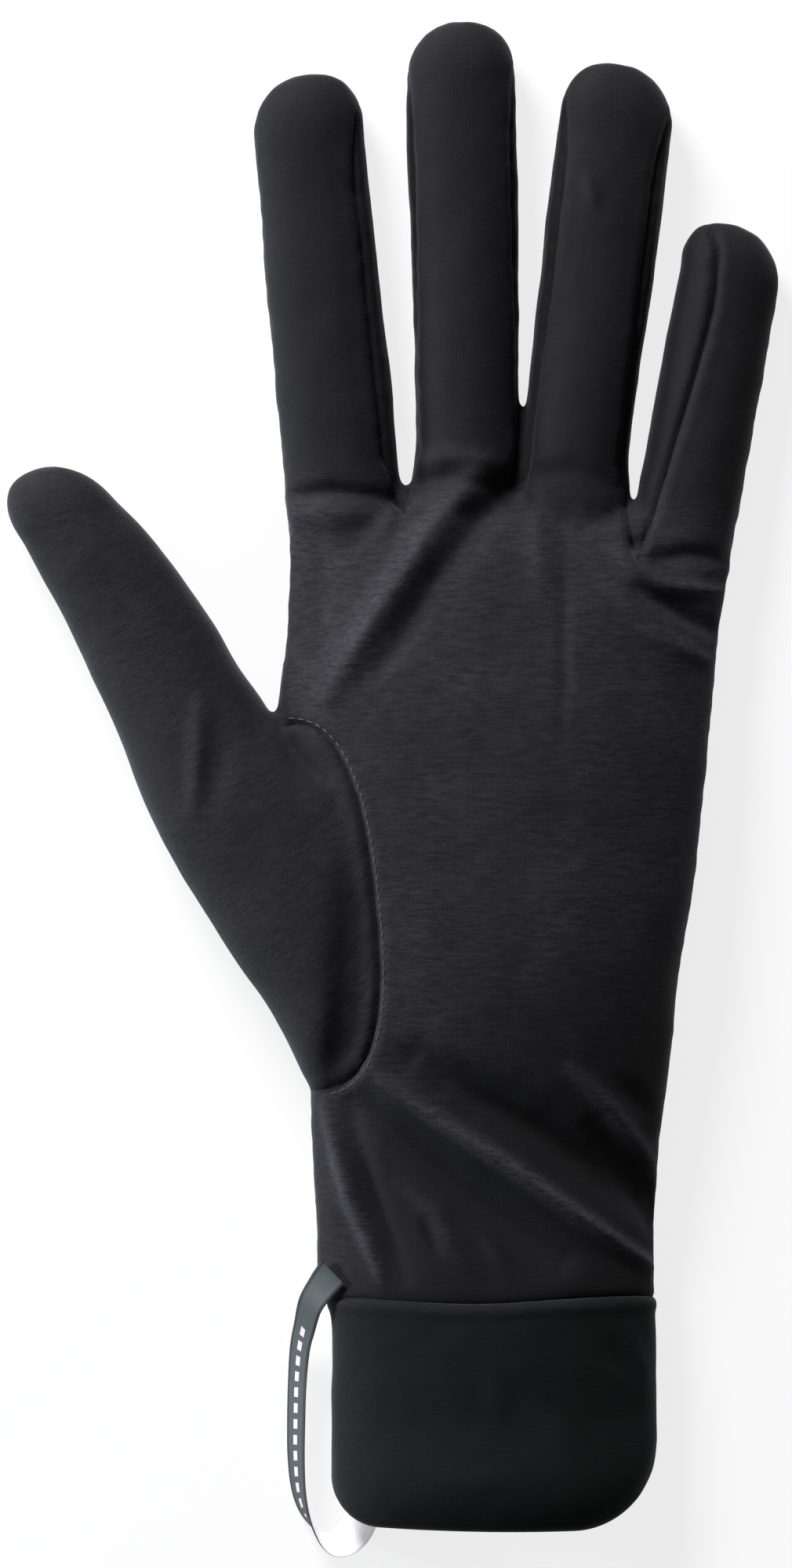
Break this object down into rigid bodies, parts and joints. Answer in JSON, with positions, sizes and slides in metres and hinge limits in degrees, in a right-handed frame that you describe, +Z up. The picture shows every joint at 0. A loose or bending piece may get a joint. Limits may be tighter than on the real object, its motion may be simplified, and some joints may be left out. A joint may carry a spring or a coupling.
{
  "type": "glove liner",
  "caption": "Thin knit glove liner for the left hand, lying palm up, with a folded hem cuff and a ribbon hang loop.",
  "frame": {"origin": "on the surface that the back of the glove lies on, under the middle of its bounding box", "axes": "+Y from the cuff towards the fingertips, +X across the palm from the thumb towards the little finger, +Z up out of the palm"},
  "size_m": [0.139, 0.2806, 0.0229],
  "materials": {
    "knit_black": "fine black jersey knit with a faint sheen",
    "cuff_knit": "doubled black jersey knit hem",
    "ribbon_grey": "grey-green woven ribbon with a white reverse"
  },
  "bodies": {
    "root": {"palm_panel": "knit_black", "back_panel": "knit_black", "thumb": "knit_black", "fourchette_index_middle": "knit_black", "fourchette_middle_ring": "knit_black", "fourchette_ring_little": "knit_black", "cuff_band": "cuff_knit", "hang_loop": "ribbon_grey"}
  },
  "joints": []
}
